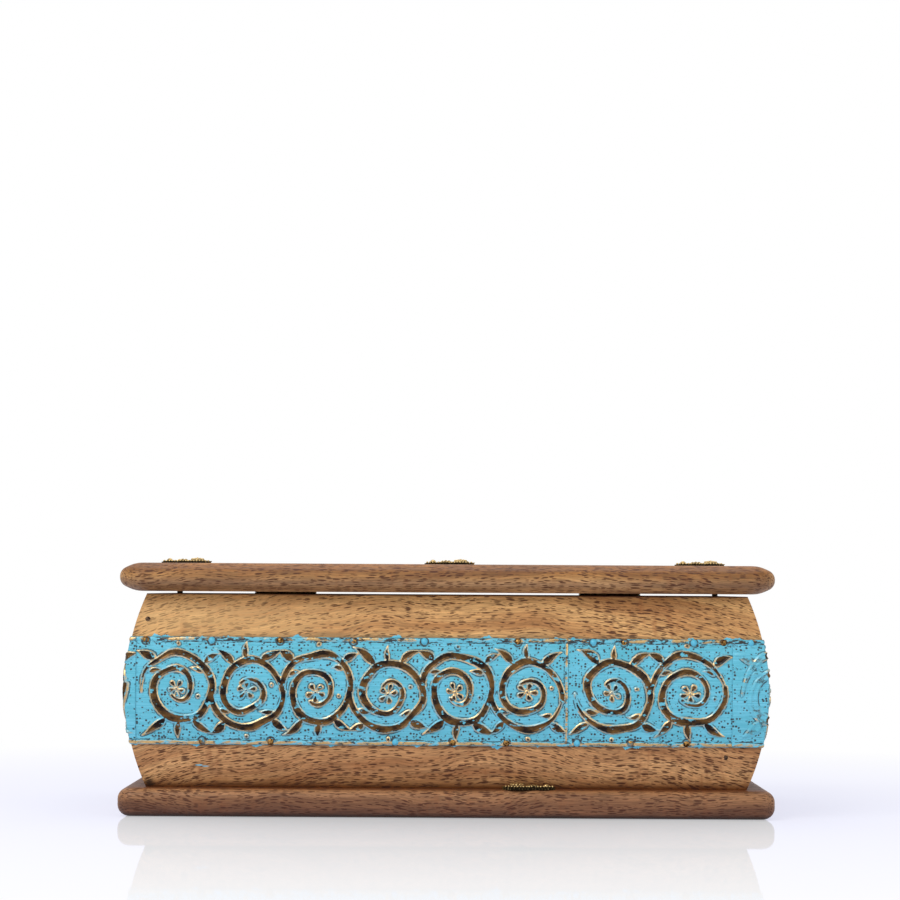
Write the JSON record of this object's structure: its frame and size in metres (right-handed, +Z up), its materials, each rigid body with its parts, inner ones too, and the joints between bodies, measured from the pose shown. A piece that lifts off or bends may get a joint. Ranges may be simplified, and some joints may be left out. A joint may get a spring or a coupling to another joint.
{
  "type": "hinged keepsake chest",
  "caption": "Small hardwood keepsake chest with bulging sides, a hinged overhanging lid and a painted, embossed brass band.",
  "frame": {"origin": "on the floor, under the middle of the base board", "axes": "+X to the right along the length, the front faces -Y, +Z up"},
  "size_m": [0.254, 0.1524, 0.1008],
  "materials": {
    "wood": "satin lacquer over open-pored hardwood",
    "band": "embossed brass sheet, painted turquoise, rubbed back to brass on the high edges",
    "tacks": "brushed over with the band's paint",
    "hinge_brass": "drawn brass",
    "ornament_brass": "cast, blackened in the hollows",
    "steel": "dull",
    "felt": "pressed felt"
  },
  "bodies": {
    "box": {"base_board": "wood", "front_panel": "wood", "right_panel": "wood", "back_panel": "wood", "left_panel": "wood", "band_front_left": "band", "band_front_right": "band", "band_back": "band", "band_left": "band", "band_right": "band", "band_front_tacks": "tacks", "band_right_tacks": "tacks", "band_back_tacks": "tacks", "band_left_tacks": "tacks", "corner_brads": "steel", "base_screws": "steel", "hinge_left_rim_leaf": "hinge_brass", "hinge_left_pin": "hinge_brass", "hinge_right_rim_leaf": "hinge_brass", "hinge_right_pin": "hinge_brass", "hinge_rim_screws": "hinge_brass", "lid_stops": "felt", "foot_ornament": "ornament_brass", "foot_ornament_pins": "ornament_brass"},
    "lid": {"lid_board": "wood", "hinge_left_lid_leaf": "hinge_brass", "hinge_right_lid_leaf": "hinge_brass", "hinge_lid_screws": "hinge_brass", "lid_ornament_left": "ornament_brass", "lid_ornament_centre": "ornament_brass", "lid_ornament_right": "ornament_brass", "lid_ornament_pins": "ornament_brass"}
  },
  "joints": [
    {"name": "lid_hinge", "type": "hinge", "parent": "box", "child": "lid", "pos_m": [0, 0.0686, 0.08645], "axis": [-1, 0, 0], "range_deg": [0, 100]}
  ]
}
